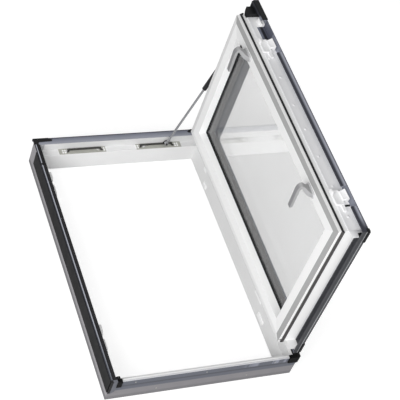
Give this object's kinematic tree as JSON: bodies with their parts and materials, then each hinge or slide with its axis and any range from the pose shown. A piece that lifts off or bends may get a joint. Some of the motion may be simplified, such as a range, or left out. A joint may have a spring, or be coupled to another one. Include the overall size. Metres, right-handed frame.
{
  "type": "roof access window",
  "caption": "Side-hung roof window with a rebated frame, an upright open sash with insulating glass, lever handles, sliding latches and a gas spring.",
  "frame": {"origin": "middle of the frame's underside", "axes": "+Z out of the roof, +X to the hinge jamb, +Y to the head"},
  "size_m": [0.788, 1.203, 0.9185],
  "materials": {
    "pvc": "smooth white plastic profile",
    "casing": "light grey satin sheet",
    "cladding": "blue-grey satin coated aluminium",
    "black_plastic": "matt black moulding",
    "rubber": "black rubber",
    "steel": "zinc plated",
    "white_fitting": "white moulding",
    "glass": "clear",
    "spacer": "dark grey edge bond",
    "lock_metal": "satin strip",
    "handle": "satin silver coat",
    "gas_rod": "ground rod",
    "gas_tube": "black satin tube"
  },
  "bodies": {
    "frame": {"frame_head": "pvc", "frame_sill": "pvc", "frame_jamb_lock": "pvc", "frame_jamb_hinge": "pvc", "casing_head": "casing", "casing_sill": "casing", "casing_lock": "casing", "casing_hinge": "casing", "channel_lock": "black_plastic", "channel_hinge": "black_plastic", "cover_head": "cladding", "cover_sill": "cladding", "rib_lock": "cladding", "rib_hinge": "cladding", "strip_lock": "rubber", "strip_hinge": "rubber", "corner_head_lock": "black_plastic", "corner_head_hinge": "black_plastic", "corner_sill_lock": "black_plastic", "corner_sill_hinge": "black_plastic", "corner_end": "cladding", "stay_plate_left": "steel", "stay_plate_right": "steel", "stay_slides": "black_plastic", "keeper_upper": "white_fitting", "keeper_lower": "white_fitting", "hinge_frame_upper": "white_fitting", "hinge_frame_lower": "white_fitting", "hinge_pins": "steel", "gas_bracket": "black_plastic", "screws": "steel"},
    "sash": {"hinge_sash_upper": "white_fitting", "hinge_sash_lower": "white_fitting", "sash_head": "pvc", "sash_sill": "pvc", "sash_stile_lock": "pvc", "sash_stile_hinge": "pvc", "sash_gasket": "rubber", "glazing_gasket": "rubber", "pane_inner": "glass", "pane_middle": "glass", "pane_outer": "glass", "spacers": "spacer", "clad_head": "cladding", "clad_sill": "cladding", "clad_lock": "cladding", "clad_hinge": "cladding", "clad_corner_head_lock": "black_plastic", "clad_corner_sill_lock": "black_plastic", "clad_corner_head_hinge": "black_plastic", "clad_corner_sill_hinge": "black_plastic", "lock_strip": "lock_metal", "rosettes": "handle", "gas_sash_plate": "steel"},
    "handle_upper": {"lever_upper": "handle"},
    "handle_lower": {"lever_lower": "handle"},
    "latch_upper": {"latch_upper": "white_fitting"},
    "latch_lower": {"latch_lower": "white_fitting"},
    "gas_rod": {"gas_rod": "gas_rod"},
    "gas_tube": {"gas_tube": "gas_tube"}
  },
  "joints": [
    {"name": "sash_hinge", "type": "hinge", "parent": "frame", "child": "sash", "pos_m": [0.379, 0, 0.155], "axis": [0, 1, 0], "range_deg": [-90, 0], "stiffness_Nm_per_rad": 60, "springref_deg": 34.38},
    {"name": "handle_upper_turn", "type": "hinge", "parent": "sash", "child": "handle_upper", "pos_m": [0.26, 0.366, 0.836], "axis": [1, 0, 0], "range_deg": [-90, 0]},
    {"name": "handle_lower_turn", "type": "hinge", "parent": "sash", "child": "handle_lower", "pos_m": [0.26, -0.32, 0.836], "axis": [1, 0, 0], "range_deg": [-90, 0]},
    {"name": "latch_upper_slide", "type": "slide", "parent": "sash", "child": "latch_upper", "axis": [0, 1, 0], "range_m": [-0.018, 0]},
    {"name": "latch_lower_slide", "type": "slide", "parent": "sash", "child": "latch_lower", "axis": [0, 1, 0], "range_m": [-0.018, 0]},
    {"name": "gas_rod_turn", "type": "hinge", "parent": "frame", "child": "gas_rod", "pos_m": [0.208, 0.564, 0.0995], "axis": [0, 1, 0], "range_deg": [-98.7, 0]},
    {"name": "gas_tube_slide", "type": "slide", "parent": "gas_rod", "child": "gas_tube", "axis": [0.2356, 0, 0.9718], "range_m": [-0.24288, 0]}
  ],
  "couplings": [
    {"joint": "latch_upper_slide", "follows": "handle_upper_turn", "m_per_rad": 0.011458},
    {"joint": "latch_lower_slide", "follows": "handle_lower_turn", "m_per_rad": 0.011458},
    {"joint": "gas_rod_turn", "follows": "sash_hinge", "ratio": 1.0966},
    {"joint": "gas_tube_slide", "follows": "sash_hinge", "m_per_rad": 0.15461}
  ]
}
